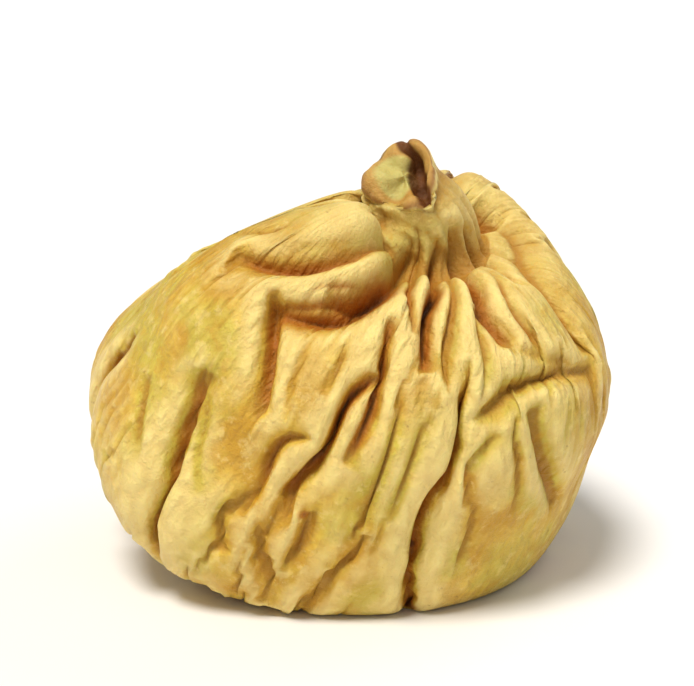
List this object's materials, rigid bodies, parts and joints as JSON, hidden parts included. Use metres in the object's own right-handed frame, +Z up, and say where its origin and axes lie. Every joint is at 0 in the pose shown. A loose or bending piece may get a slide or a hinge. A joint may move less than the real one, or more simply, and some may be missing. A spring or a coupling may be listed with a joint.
{
  "type": "dried fig",
  "caption": "Whole dried fig with its stalk stub, squat and wrinkled, with pleats gathered round the stalk, lying on a flattened side.",
  "frame": {"origin": "centre of the part's box, on the surface that the fig rests on", "axes": "+Z up, +X to the fruit's right and -Y towards its front, where the stalk end leans"},
  "size_m": [0.0456, 0.0422, 0.0387],
  "materials": {
    "fig_skin": "satin"
  },
  "bodies": {
    "root": {"dried_fig": "fig_skin"}
  },
  "joints": []
}
